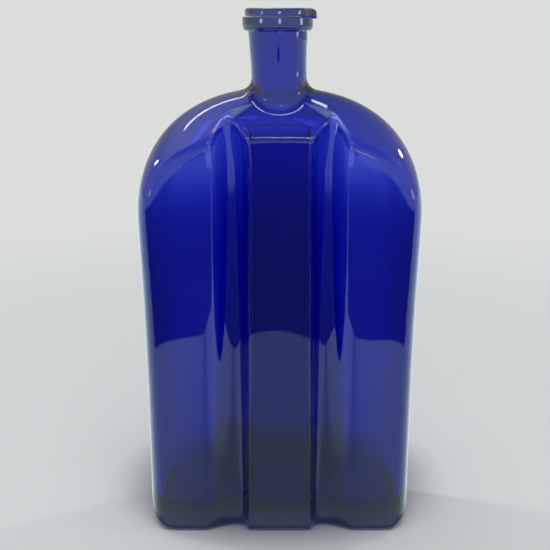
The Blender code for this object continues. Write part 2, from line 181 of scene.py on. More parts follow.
CREASE_HEIGHT = SPRING_HEIGHT + PANEL_RISE
RIDGE_HEIGHT = SPRING_HEIGHT + RIDGE_RISE
TURN_START = CREASE_HEIGHT + 0.003      # mesh columns turn from upright to round the neck
TURN_END = RIDGE_HEIGHT
TINY = 1e-5
FACE_MARGIN = 30 * TINY                 # a column this far behind its face has turned in
LIP_LEAN = 0.97 * NECK_LEAN

Wall = namedtuple("Wall", [
    "half_depth", "panel_half_width", "panel_rise", "ridge_half_width", "ridge_rise",
    "crease_blend", "cut_flutes", "throat_fillet", "throat_radius",
])


# ======================== shape of the body
def ease(share):
    """Smooth step from 0 to 1."""
    share = np.clip(share, 0, 1)
    return share * share * (3 - 2 * share)


def soft_least(first, second, blend):
    """The smaller of two values, with the corner between them rounded off."""
    near = np.maximum(blend - np.abs(first - second), 0)
    return np.minimum(first, second) - near * near / (4 * blend)


def neck_radius(height):
    share = ease((height - NECK_FLARE_START) / (NECK_FLARE_END - NECK_FLARE_START))
    return NECK_RADIUS + (NECK_TOP_RADIUS - NECK_RADIUS) * share


def bore_radius(height):
    return BORE_RADIUS


def at_height(ends, height):
    """A flute's size at a height, from its sizes at the foot and at the panel's top."""
    foot, top = ends
    return foot + (top - foot) * height / CREASE_HEIGHT


def flute_centre(height):
    """Distance of a flute's deepest line from the bottle's middle line."""
    turn = ease((height - FLUTE_TURN_START) / (FLUTE_TURN_END - FLUTE_TURN_START))
    return at_height(FLUTE_CENTRE, height) + FLUTE_TURN * turn


def flute_inner_edge(height):
    return flute_centre(height) - at_height(FLUTE_INNER_WIDTH, height)


def flute_outer_edge(height):
    return flute_centre(height) + at_height(FLUTE_OUTER_WIDTH, height)


def roll_out(offset, height):
    """Soft slope from 0 on a flute's deepest line to 1 where it meets the side panel."""
    share = np.clip(offset / at_height(FLUTE_OUTER_WIDTH, height), 0, 1)
    return (1 - np.cos(math.pi * share)) / 2


def cut_outer_flutes(across, depth, height):
    """Scoop the face: steep next to the middle panel, a long soft roll to the side panel."""
    offset = across - flute_centre(height)
    steep = np.abs(offset / at_height(FLUTE_INNER_WIDTH, height))
    steep = steep ** at_height(FLUTE_POWER, height)
    left = np.where(offset < 0, steep, roll_out(offset, height))
    floor = HALF_DEPTH - at_height(FLUTE_DEPTH, height) * (1 - left)
    return soft_least(depth, floor + FLUTE_EDGE_BLEND * left * left, FLUTE_EDGE_BLEND)


def cut_inner_flutes(across, depth, height):
    """Softer than outside: pinched behind each flute, and thick behind the middle panel."""
    offset = across - flute_centre(height)
    left = np.where(offset < 0, (offset / PINCH_SPREAD) ** 2, roll_out(offset, height))
    pinch = PINCH_DEPTH + (HALF_DEPTH - WALL - PINCH_DEPTH) * left
    behind_middle = np.where(offset < 0, CENTRE_HALF_DEPTH, 2 * HALF_DEPTH)
    floor = soft_least(pinch + PINCH_BLEND * left * left, behind_middle, PINCH_BLEND)
    return soft_least(depth, floor, PINCH_BLEND)


OUTSIDE = Wall(
    HALF_DEPTH, PANEL_HALF_WIDTH, PANEL_RISE, RIDGE_HALF_WIDTH, RIDGE_RISE,
    CREASE_BLEND, cut_outer_flutes, NECK_FILLET, neck_radius,
)
INSIDE = Wall(
    HALF_DEPTH - WALL, PANEL_HALF_WIDTH - WALL / 2, PANEL_RISE - WALL / 2,
    RIDGE_HALF_WIDTH - WALL, RIDGE_RISE - WALL,
    INNER_CREASE_BLEND, cut_inner_flutes, BORE_FILLET, bore_radius,
)


def crown_share(depth_share):
    """Rise of the shoulder: 1 on the ridge, 0 at the panel, straight bevel then round crown."""
    bevel = BEVEL_SLOPE * (1 - depth_share)
    crown = 1 - CROWN_FALL * depth_share ** CROWN_POWER
    top = soft_least(BEVEL_SLOPE, 1.0, CROWN_BLEND)
    return np.maximum(soft_least(bevel, crown, CROWN_BLEND), 0) / top


def edge_share(depth_share):
    return np.maximum(1 - depth_share ** EDGE_POWER, 0) ** (1 / EDGE_POWER)


def side_taper(height):
    below = np.maximum(SPRING_HEIGHT - height, 0) / TAPER_LENGTH
    return SIDE_TAPER * np.tanh(below ** TAPER_POWER)


def body_field(wall, across, depth, height):
    """Negative inside the flat arched body, positive outside, roughly in metres."""
    depth_share = np.clip(depth / wall.half_depth, 0, 1)
    spread = wall.ridge_half_width - wall.panel_half_width
    climb = wall.ridge_rise - wall.panel_rise
    half_width = wall.panel_half_width + spread * edge_share(depth_share) - side_taper(height)
    bevel = crown_share(depth_share)
    rise = wall.panel_rise + climb * bevel
    power = PANEL_POWER + (RIDGE_POWER - PANEL_POWER) * bevel
    up = np.maximum(height - SPRING_HEIGHT, 0) / rise
    reach = ((across / half_width) ** power + up ** power) ** (1 / power)
    arch = (reach - 1) * rise
    face = depth - wall.half_depth
    return -soft_least(-arch, -face, wall.crease_blend)


def whole_field(wall, across, depth, height):
    """The body joined to its neck, or the cavity to its bore, with a fillet between."""
    radius = np.hypot(across, depth)
    beside = (across / np.maximum(radius, TINY)) ** 2
    fillet = wall.throat_fillet * (FILLET_IN_FRONT + (1 - FILLET_IN_FRONT) * beside)
    throat = radius - wall.throat_radius(height)
    return soft_least(body_field(wall, across, depth, height), throat, fillet)


def furthest(inside, limit):
    """Largest distance for which inside(distance) holds, found by halving."""
    low = np.zeros_like(limit)
    high = limit.copy()
    for _ in range(BISECTIONS):
        middle = (low + high) / 2
        held = inside(middle)
        low = np.where(held, middle, low)
        high = np.where(held, high, middle)
    return low


def outline_at_angles(wall, height, angles):
    """Points of the level outline along rays; angle 0 is the front, 90 degrees the side."""
    reach = furthest(
        lambda r: whole_field(wall, r * np.sin(angles), r * np.cos(angles), height) < 0,
        np.full(len(angles), 2 * RIDGE_HALF_WIDTH),
    )
    return reach * np.sin(angles), reach * np.cos(angles)


def depth_at(wall, across, heights):
    """Depth of the front face at given places across, each at its own height."""
    return furthest(
        lambda y: whole_field(wall, across, y, heights) < 0,
        np.full(len(across), 2 * HALF_DEPTH),
    )


# ======================== mesh columns and rings
def closing_in(start, end, count):
    """Values from start to end, closer together at both ends, the start left out."""
    share = np.linspace(0, 1, count + 1)[1:]
    return start + (end - start) * (EVEN_PART * share + (1 - EVEN_PART) * ease(share))


def face_columns(height):
    """Places across the front held by upright mesh columns, dense at the flutes' edges."""
    inner_edge = flute_inner_edge(height)
    outer_edge = flute_outer_edge(height)
    edge_start = inner_edge * MIDDLE_EDGE_START
    middle = np.concatenate([
        np.linspace(0, edge_start, MIDDLE_COLUMNS + 1),
        np.linspace(edge_start, inner_edge, MIDDLE_EDGE_COLUMNS + 1)[1:],
    ])
    scoop = closing_in(inner_edge, flute_centre(height), SCOOP_COLUMNS)
    roll = np.linspace(scoop[-1], outer_edge, ROLL_COLUMNS + 1)[1:]
    panel = np.linspace(outer_edge, PANEL_COLUMNS_END, PANEL_COLUMNS + 1)[1:]
    return np.concatenate([middle, scoop, roll, panel])


@lru_cache(maxsize=None)
def top_edge(wall):
    """Height, above the spring, at which each column's upright face meets the shoulder."""
    crease = SPRING_HEIGHT + wall.panel_rise
    columns = face_columns(crease)
    face = wall.cut_flutes(columns, np.full(len(columns), wall.half_depth), crease)
    return furthest(
        lambda rise: depth_at(wall, columns, SPRING_HEIGHT + rise) > face - FACE_MARGIN,
        np.full(len(columns), wall.ridge_rise),
    )


def dip_share(wall, height):
    """Rings bend to follow the faces' top edge, fully at the crease, not at all far off."""
    if height <= SPRING_HEIGHT + wall.panel_rise:
        share = (height - SPRING_HEIGHT) / wall.panel_rise
    else:
        share = (SPRING_HEIGHT + wall.ridge_rise - height) / (wall.ridge_rise - wall.panel_rise)
    return ease(share)


def spread_along(across, depth, count):
    """Pick count points along an outline, closer together where it turns."""
    steps = np.hypot(np.diff(across), np.diff(depth))
    heading = np.unwrap(np.arctan2(np.diff(depth), np.diff(across)))
    turning = np.abs(np.diff(heading, prepend=heading[0]))
    travel = np.concatenate([[0], np.cumsum(steps + HALF_DEPTH * turning / 2)])
    wanted = np.linspace(0, travel[-1], count + 1)[1:]
    return np.interp(wanted, travel, across), np.interp(wanted, travel, depth)


def straight_ring(wall, height):
    """A ring whose columns stay upright over the faces, before the flutes are cut."""
    columns = face_columns(height)
    levels = height - dip_share(wall, height) * (wall.panel_rise - top_edge(wall))
    front = depth_at(wall, columns, levels)
    angles = np.linspace(math.atan2(columns[-1], front[-1]), math.pi / 2, OUTLINE_SAMPLES)
    edge = spread_along(*outline_at_angles(wall, levels[-1], angles), EDGE_COLUMNS)
    across = np.concatenate([columns, edge[0]])
    depth = np.concatenate([front, edge[1]])
    return across, depth, np.concatenate([levels, np.full(EDGE_COLUMNS, levels[-1])])


@lru_cache(maxsize=None)
def turning_ring(wall):
    return straight_ring(wall, TURN_START)


def turned_ring(wall, height):
    """A ring over the shoulder, its columns turning to stand evenly round the neck."""
    across, depth, levels = turning_ring(wall)
    turn = ease((height - TURN_START) / (TURN_END - TURN_START))
    old_angles = np.arctan2(across, depth)
    even_angles = np.linspace(0, math.pi / 2, len(old_angles))
    angles = old_angles + (even_angles - old_angles) * turn
    dips = (TURN_START - levels) / dip_share(wall, TURN_START)
    levels = height - dip_share(wall, height) * dips
    return *outline_at_angles(wall, levels, angles), levels


def quarter_ring(wall, height):
    """Across, depth and height of one ring's points, from the front's middle to the side."""
    make = straight_ring if height < TURN_START else turned_ring
    across, depth, levels = make(wall, height)
    depth = wall.cut_flutes(across, depth, levels)
    across[0] = 0
    depth[-1] = 0
    return across, depth, levels


def quarter_turn_in(up, radius, height):
    """How far a rounded lower edge has drawn in at a height above its foot."""
    left = 1 - min(up / height, 1)
    return radius * (1 - math.sqrt(1 - left * left))


def foot_ring(wall, floor, up, heel, corner, corner_height):
    """A ring drawn in towards the foot: the heel front and back, the corner at the sides."""
    across, depth, levels = quarter_ring(wall, floor + up)
    share = ease((across - CORNER_START) / (across[-1] - CORNER_START))
    across = across - quarter_turn_in(up, corner, corner_height) * share
    depth = depth * (1 - quarter_turn_in(up, heel, heel) / depth.max())
    return across, depth, levels


def hollow_ring(foot):
    """Edge of the hollow under the base, one point for each point of the foot's outline."""
    across = foot[0] * HOLLOW_HALF_WIDTH / foot[0][-1]
    share = (across / HOLLOW_HALF_WIDTH) ** RIDGE_POWER
    depth = HOLLOW_HALF_DEPTH * (1 - share) ** (1 / RIDGE_POWER)
    return across, depth, np.zeros(len(across))


def shrunk(ring, share, height):
    """A smaller copy of a ring at another height."""
    return ring[0] * share, ring[1] * share, np.full(len(ring[0]), height)


def between(start, end, count):
    """Evenly spaced values, the start left out."""
    return list(np.linspace(start, end, count + 1)[1:])


def eased_up(start, end, count):
    """Values from start to end that close up towards the end."""
    turns = np.linspace(0, math.pi / 2, count + 1)[1:]
    return [start + (end - start) * math.sin(turn) for turn in turns]


def outer_rings():
    """Rings of the outside, from under the base up to the sheared end of the neck."""
    turns = np.linspace(0, math.pi / 2, HEEL_RINGS)
    feet_up = [HEEL_RADIUS * (1 - math.cos(turn)) for turn in turns]
    feet_up += between(HEEL_RADIUS, CORNER_HEIGHT, CORNER_RINGS)
    feet = [
        foot_ring(OUTSIDE, 0, up, HEEL_RADIUS, CORNER_RADIUS, CORNER_HEIGHT)
        for up in feet_up
    ]
    hollow = hollow_ring(feet[0])
    rings = []
    for share in np.linspace(*HOLLOW_SHARES, HOLLOW_RINGS):
        rings.append(shrunk(hollow, share, PUSH_UP * (1 - ease(share))))
    bearing = [
        tuple(inner + (outer - inner) * share for inner, outer in zip(hollow, feet[0]))
        for share in BEARING_SHARES
    ]
    rings += bearing + feet
    heights = between(CORNER_HEIGHT, SPRING_HEIGHT, SIDE_RINGS)
    heights += eased_up(SPRING_HEIGHT, CREASE_HEIGHT, ARCH_RINGS)
    heights += between(CREASE_HEIGHT, RIDGE_HEIGHT, SHOULDER_RINGS)
    heights += between(RIDGE_HEIGHT, RIDGE_HEIGHT + NECK_FILLET, FILLET_RINGS)
    heights += between(RIDGE_HEIGHT + NECK_FILLET, NECK_FLARE_START, NECK_RINGS)
    heights += between(NECK_FLARE_START, NECK_FLARE_END, FLARE_RINGS)
    heights += [COLLAR_BOTTOM + GAP, NECK_END]
    return rings + [quarter_ring(OUTSIDE, height) for height in heights]


def inner_rings():
    """Rings of the bore and the cavity, from the neck's end down to the inner floor."""
    top = SPRING_HEIGHT + INSIDE.ridge_rise
    crease = SPRING_HEIGHT + INSIDE.panel_rise
    heights = between(BASE_THICKNESS + INNER_HEEL_RADIUS, SPRING_HEIGHT, INNER_SIDE_RINGS)
    heights += eased_up(SPRING_HEIGHT, crease, INNER_ARCH_RINGS)
    heights += between(crease, top, INNER_SHOULDER_RINGS)
    heights += between(top, top + BORE_FILLET, INNER_FILLET_RINGS)
    heights += between(top + BORE_FILLET, NECK_END, BORE_RINGS)
    rings = [quarter_ring(INSIDE, height) for height in reversed(heights)]
    for turn in np.linspace(math.pi / 2, 0, INNER_HEEL_RINGS):
        rings.append(foot_ring(
            INSIDE, BASE_THICKNESS, INNER_HEEL_RADIUS * (1 - math.cos(turn)),
            INNER_HEEL_RADIUS, INNER_HEEL_RADIUS, INNER_HEEL_RADIUS))
    floor = rings[-1]
    for share in np.linspace(*FLOOR_SHARES, FLOOR_RINGS):
        rings.append(shrunk(floor, share, BASE_THICKNESS + INNER_DOME * (1 - ease(share))))
    return rings


def whole_loop(ring):
    """All four quarters of a ring, counterclockwise from the front's middle."""
    across, depth, levels = ring
    right = np.stack([across, -depth, levels], axis=1)
    back = np.stack([across, depth, levels], axis=1)[-2::-1]
    left = np.stack([-across, depth, levels], axis=1)[1:]
    front = np.stack([-across, -depth, levels], axis=1)[-2:0:-1]
    return np.concatenate([right, back, left, front])


# ======================== hand-made unevenness
WAVES = (
    # waves across, along the depth and up, per metre, then a phase and a strength
    (11.0, 5.0, 7.0, 0.3, 1.0),
    (-19.0, 9.0, 13.0, 1.9, 0.7),
    (7.0, -23.0, 21.0, 4.1, 0.6),
    (31.0, 17.0, -9.0, 2.6, 0.4),
    (-27.0, 12.0, 35.0, 5.2, 0.3),
)


def wander(points, offset=0.0):
    """A smooth uneven field between 0 and 1 over the glass."""
    total = np.zeros(len(points))
    for across, along, up, phase, strength in WAVES:
        turn = 2 * math.pi * (points @ np.array([across, along, up])) + phase + offset
        total += strength * np.sin(turn)
    return 0.5 + 0.5 * total / sum(wave[4] for wave in WAVES)


def wave_in(points, amount, offset):
    """Draw points in towards the bottle's middle by an uneven amount, never outwards."""
    flat = points[:, :2]
    size = np.maximum(np.hypot(flat[:, 0], flat[:, 1]), TINY)
    fade = ease(size / (2 * BORE_RADIUS))
    drawn = amount * fade * wander(points, offset)
    sharp = np.stack([flat[:, 0] / RIDGE_HALF_WIDTH, flat[:, 1] / HALF_DEPTH], axis=1)
    sharp = np.sign(sharp) * np.abs(sharp) ** WAVE_SQUARENESS
    length = np.maximum(np.hypot(sharp[:, 0], sharp[:, 1]), TINY)
    points[:, 0] -= drawn * sharp[:, 0] / length
    points[:, 1] -= drawn * sharp[:, 1] / length


def thin_shoulder(points):
    """Draw the inner faces out towards the shoulder, where the glass was blown thinner."""
    rising = ease((points[:, 2] - THIN_START) / (THIN_END - THIN_START))
    at_side = ease((points[:, 2] - SIDE_THIN_START) / (SIDE_THIN_END - SIDE_THIN_START))
    over = 1 - ease((points[:, 2] - THIN_OVER) / (THIN_BACK - THIN_OVER))
    points[:, 0] *= 1 + SIDE_THINNING * at_side * over
    depth = np.abs(points[:, 1]) * (1 + THINNING * rising * over)
    limit = np.maximum(HALF_DEPTH - THINNEST, np.abs(points[:, 1]))
    points[:, 1] = np.sign(points[:, 1]) * soft_least(depth, limit, THINNEST_BLEND)


def lean(points):
    """The neck was finished by hand and stands a little to the left."""
    share = ease((points[:, 2] - LEAN_START) / (HEIGHT - LEAN_START))
    points[:, 0] += NECK_LEAN * share


def raise_seam(points):
    """A faint mould seam up each side: the rest of the side stands in by its height."""
    off_seam = ease(np.abs(points[:, 1]) / SEAM_HALF_WIDTH)
    across = np.abs(points[:, 0]) / RIDGE_HALF_WIDTH
    at_side = ease((across - SEAM_FROM) / (SEAM_TO - SEAM_FROM))
    low = ease(points[:, 2] / CORNER_HEIGHT)
    points[:, 0] -= np.sign(points[:, 0]) * SEAM_HEIGHT * off_seam * at_side * low


# ======================== meshes
def add_piece(name, points, faces, seam, node, material):
    """A visible glass piece that stands for one CAD node and rides with the bottle."""
    mesh = bpy.data.meshes.new(name)
    mesh.from_pydata(points.tolist(), [], faces)
    mesh.shade_smooth()
    mesh.set_sharp_from_angle(angle=math.radians(SHARP_ANGLE))
    mark = mesh.attributes.new("fused", "FLOAT", "FACE")
    mark.data.foreach_set("value", np.array(seam, dtype=np.float32))
    mesh.materials.append(material)
    piece = bpy.data.objects.new(name, mesh)
    bpy.context.scene.collection.objects.link(piece)
    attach(piece, "root")
    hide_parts(node)
    return piece


def loop_faces(first, second, count):
    """Quads between two neighbouring rings given by their first point's number."""
    return [
        (first + step, first + (step + 1) % count,
         second + (step + 1) % count, second + step)
        for step in range(count)
    ]


def build_body(material):
    outer = [whole_loop(ring) for ring in outer_rings()]
    inner = [whole_loop(ring) for ring in inner_rings()]
    count = len(outer[0])
    outside = np.concatenate(outer)
    inside = np.concatenate(inner)
    wave_in(outside, OUTER_WAVE, 0.0)
    raise_seam(outside)
    thin_shoulder(inside)
    wave_in(inside, INNER_WAVE, 2.0)
    points = np.concatenate([
        [[0, 0, PUSH_UP]], outside, inside, [[0, 0, BASE_THICKNESS + INNER_DOME]],
    ])
    lean(points)
    rings = len(outer) + len(inner)
    last = len(points) - 1
    faces = [(0, 1 + (step + 1) % count, 1 + step) for step in range(count)]
    for ring in range(rings - 1):
        faces += loop_faces(1 + ring * count, 1 + (ring + 1) * count, count)
    end = 1 + (rings - 1) * count
    faces += [(end + step, end + (step + 1) % count, last) for step in range(count)]
    seam = np.zeros(len(faces))
    start = count * (len(outer) - 1)
    seam[start:start + 2 * count] = 1
    return add_piece("blown_body", points, faces, seam, "bottle_body", material)


def rounded(points, radii):
    """A closed profile of (radius, height) corners with each corner rounded."""
    result = []
    count = len(points)
    for place, (corner, radius) in enumerate(zip(points, radii)):
        corner = np.array(corner)
        before = np.array(points[place - 1]) - corner
        after = np.array(points[(place + 1) % count]) - corner
        before = before / np.hypot(*before)
        after = after / np.hypot(*after)
        centre = corner + radius * (before + after)
        for step in range(ROUND_STEPS + 1):
            turn = step / ROUND_STEPS * math.pi / 2
            result.append(centre - radius * (after * math.cos(turn) + before * math.sin(turn)))
    return np.array(result)


def sweep(profile, shape):
    """Points of a closed profile turned round the neck, each section passed through shape."""
    sections = []
    for step in range(LIP_STEPS):
        angle = 2 * math.pi * step / LIP_STEPS
        section = shape(profile.copy(), angle)
        sections.append(np.stack([
            section[:, 0] * math.cos(angle), section[:, 0] * math.sin(angle), section[:, 1],
        ], axis=1))
    points = np.concatenate(sections)
    lean(points)
    size = len(profile)
    faces = []
    for step in range(LIP_STEPS):
        here = step * size
        there = (step + 1) % LIP_STEPS * size
        for place in range(size):
            after = (place + 1) % size
            faces.append((here + place, here + after, there + after, there + place))
    return points, faces


def face_middles(points, faces):
    """Middle of each face, measured from the leaning neck's own axis."""
    middles = points[np.array(faces)].mean(axis=1)
    middles[:, 0] -= LIP_LEAN
    return middles


def one_wave(angle, turns, phase):
    """A wave between 0 and 1 round the lip."""
    return 0.5 + 0.5 * math.sin(turns * angle + phase)


def two_waves(angle, slow, fast):
    """Two such waves together, each given by its turns and phase, the slow one stronger."""
    return 0.6 * one_wave(angle, *slow) + 0.4 * one_wave(angle, *fast)


COLLAR_ROUNDING = (0.00005, 0.0006, 0.0019, 0.00005)
COLLAR_WANDER = 0.00022         # how far the hand-laid ring draws in
COLLAR_LIFT = 0.00035           # and how far its lower edge lifts
RIM_ROUNDING = (0.0014, 0.0013, 0.0003, 0.00005)
RIM_WANDER = 0.00020
RIM_DIP = 0.00012
TAIL_HEIGHT = 0.2672            # middle of the small snapped-off tail at the right
TAIL_HALF_WIDTH = 0.0030
TAIL_ENDS = 3                   # half widths from its middle at which the tail has ended
TAIL_HANG = 0.0014              # beyond the collar the tail hangs down by this much
TAIL_HANG_START = 0.0008
COVERED_MARGIN = 0.0005         # faces this far under the rim are fused to their neighbour
FUSED_MARGIN = 0.0002


def build_collar(material):
    inner = NECK_TOP_RADIUS + GAP
    corners = [
        (inner, COLLAR_TOP), (COLLAR_RADIUS, COLLAR_TOP),
        (COLLAR_RADIUS, COLLAR_BOTTOM), (inner, COLLAR_BOTTOM),
    ]
    profile = rounded(corners, COLLAR_ROUNDING)
    middle_height = (COLLAR_TOP + COLLAR_BOTTOM) / 2

    def shape(section, angle):
        outward = np.clip((section[:, 0] - inner) / (COLLAR_RADIUS - inner), 0, 1)
        section[:, 0] -= outward * COLLAR_WANDER * two_waves(angle, (2, 0.7), (5, 2.0))
        low = np.clip((middle_height - section[:, 1]) / (middle_height - COLLAR_BOTTOM), 0, 1)
        section[:, 1] += low * outward * COLLAR_LIFT * one_wave(angle, 3, 1.0)
        return section

    points, faces = sweep(profile, shape)
    middles = face_middles(points, faces)
    radius = np.hypot(middles[:, 0], middles[:, 1])
    under_rim = (middles[:, 2] > COLLAR_TOP - TINY) & (radius < RIM_RADIUS - COVERED_MARGIN)
    seam = (radius < inner + FUSED_MARGIN) | under_rim
    return add_piece("collar", points, faces, seam, "lip_collar", material)


def build_rim(material):
    corners = [
        (BORE_RADIUS, HEIGHT), (RIM_RADIUS, HEIGHT),
        (RIM_RADIUS, RIM_BOTTOM), (BORE_RADIUS, RIM_BOTTOM),
    ]
    profile = rounded(corners, RIM_ROUNDING)
    middle = (BORE_RADIUS + RIM_RADIUS) / 2

    def shape(section, angle):
        outward = ease((section[:, 0] - middle) / (RIM_RADIUS - middle))
        section[:, 0] -= outward * RIM_WANDER * two_waves(angle, (2, 2.2), (4, 0.4))
        top = ease((section[:, 1] - RIM_BOTTOM) / (HEIGHT - RIM_BOTTOM))
        section[:, 1] -= top * RIM_DIP * one_wave(angle, 3, 0.3)
        away = math.atan2(math.sin(angle), math.cos(angle)) * RIM_RADIUS / TAIL_HALF_WIDTH
        swell = math.exp(-away ** 4 / 2) if abs(away) < TAIL_ENDS else 0
        if swell > 0:
            round_share = (section[:, 1] - TAIL_HEIGHT) / (HEIGHT - TAIL_HEIGHT)
            reach = (TAIL_REACH - RIM_RADIUS) * np.sqrt(np.clip(1 - round_share ** 2, 0, 1))
            section[:, 0] += swell * outward * reach
            hang = ease((section[:, 0] - COLLAR_RADIUS - GAP) / TAIL_HANG_START)
            low = ease((HEIGHT - section[:, 1]) / (HEIGHT - RIM_BOTTOM))
            section[:, 1] -= swell * hang * low * TAIL_HANG
        return section

    points, faces = sweep(profile, shape)
    middles = face_middles(points, faces)
    radius = np.hypot(middles[:, 0], middles[:, 1])
    seam = (middles[:, 2] < RIM_BOTTOM + TINY) & (radius < RIM_RADIUS - COVERED_MARGIN)
    return add_piece("rim", points, faces, seam, "lip_rim", material)


# ======================== materials
def link(tree, source, target):
    tree.links.new(source, target)


def noise(tree, coordinates, scale, detail=3.0):
    node = tree.nodes.new("ShaderNodeTexNoise")
    node.inputs["Scale"].default_value = scale
    node.inputs["Detail"].default_value = detail
    link(tree, coordinates, node.inputs["Vector"])
    return node


def remap(tree, value, low, high, to_low, to_high):
    node = tree.nodes.new("ShaderNodeMapRange")
    for name, number in zip(("From Min", "From Max", "To Min", "To Max"),
                            (low, high, to_low, to_high)):
        node.inputs[name].default_value = number
    link(tree, value, node.inputs["Value"])
    return node.outputs["Result"]


def maths(tree, operation, first, second):
    node = tree.nodes.new("ShaderNodeMath")
    node.operation = operation
    for place, value in enumerate((first, second)):
        if isinstance(value, (int, float)):
            node.inputs[place].default_value = value
        else:
            link(tree, value, node.inputs[place])
    return node.outputs[0]


def mix_shaders(tree, share, first, second):
    node = tree.nodes.new("ShaderNodeMixShader")
    link(tree, share, node.inputs[0])
    link(tree, first, node.inputs[1])
    link(tree, second, node.inputs[2])
    return node.outputs[0]


def glow(tree, colour, strength=1.0):
    node = tree.nodes.new("ShaderNodeEmission")
    node.inputs["Color"].default_value = (*colour, 1)
    node.inputs["Strength"].default_value = strength
    return node.outputs[0]


def split(tree, vector):
    node = tree.nodes.new("ShaderNodeSeparateXYZ")
    link(tree, vector, node.inputs[0])
    return node.outputs


def smooth_remap(tree, value, low, high, to_low, to_high):
    result = remap(tree, value, low, high, to_low, to_high)
    result.node.interpolation_type = "SMOOTHSTEP"
    return result


def colour_mix(tree, share, first, second):
    node = tree.nodes.new("ShaderNodeMix")
    node.data_type = "RGBA"
    node.inputs["A"].default_value = (*first, 1)
    node.inputs["B"].default_value = (*second, 1)
    link(tree, share, node.inputs["Factor"])
    return node.outputs["Result"]


def length_of(tree, vector):
    node = tree.nodes.new("ShaderNodeVectorMath")
    node.operation = "LENGTH"
    link(tree, vector, node.inputs[0])
    return node.outputs["Value"]


def scaled_distance(tree, place, centre, size):
    """Distance from a centre, measured in the given size along each axis."""
    shifted = tree.nodes.new("ShaderNodeVectorMath")
    shifted.operation = "SUBTRACT"
    link(tree, place, shifted.inputs[0])
    shifted.inputs[1].default_value = centre
    scaled = tree.nodes.new("ShaderNodeVectorMath")
    scaled.operation = "DIVIDE"
    link(tree, shifted.outputs[0], scaled.inputs[0])
    scaled.inputs[1].default_value = size
    return length_of(tree, scaled.outputs[0])


def bump(tree, height, strength, distance, before=None):
    node = tree.nodes.new("ShaderNodeBump")
    node.inputs["Strength"].default_value = strength
    node.inputs["Distance"].default_value = distance
    link(tree, height, node.inputs["Height"])
    if before is not None:
        link(tree, before, node.inputs["Normal"])
    return node.outputs["Normal"]


GLASS_IOR = 1.515
LIP_IOR = 1.62                          # the fire-polished lip mirrors a little more
GLASS_TINT = (0.55, 0.66, 1.0)          # what even a thin skin of this glass lets through
ABSORPTION = (600.0, 560.0, 120.0)      # of red, green and blue light, per metre of glass
ABSORPTION_DENSITY = 640.0
BODY_RIPPLE = 0.07
BODY_HAZE = 0.0
LIP_RIPPLE = 0.25
LIP_HAZE = 0.02
RIPPLE_SCALE = 38.0
RIPPLE_STRETCH = 0.35                   # ripples are drawn out upwards
RIPPLE_DEPTH = 0.001
NECK_RIPPLE_SHARE = 0.25
SCUFF_SCALE = 60.0
SCUFF_RANGE = (0.45, 0.75)
SCUFF_HAZE = 0.05
SEED_SCALE = 55.0                       # seeds are the tiny bubbles caught in old glass
SEED_SIZE = 0.045
SEED_STRENGTH = 0.4
SEED_DEPTH = 0.0002
THROAT_PAINTED_SHADE = (0.20, 0.24, 0.36)        # painted shade: a darker tint over the front of the throat
THROAT_CENTRE = (-0.0007, 0.0, 0.2284)
THROAT_SIZE = (0.0122, 1.0, 0.0042)
THROAT_FADE = (0.80, 1.02)
THROAT_FRONT = (-0.004, 0.0)
BASE_PAINTED_GLOW = (0.007, 0.011, 0.034)       # painted glow: the lowest part of the body emits a faint blue, standing in for light seen in the thick base
BASE_PAINTED_GLOW_HEIGHTS = (0.007, 0.018)


def painted_throat_shade(tree, place):
    """Glass tint with a painted shade: darker in a cup shape on the outer faces in front of the
    throat.
    """
    distance = scaled_distance(tree, place, THROAT_CENTRE, THROAT_SIZE)
    inside = smooth_remap(tree, distance, *THROAT_FADE, 1.0, 0.0)
    in_front = smooth_remap(tree, split(tree, place)[1], *THROAT_FRONT, 1.0, 0.0)
    facing = tree.nodes.new("ShaderNodeNewGeometry")
    outside = maths(tree, "SUBTRACT", 1.0, facing.outputs["Backfacing"])
    cup = maths(tree, "MULTIPLY", maths(tree, "MULTIPLY", inside, in_front), outside)
    return colour_mix(tree, cup, GLASS_TINT, THROAT_PAINTED_SHADE)


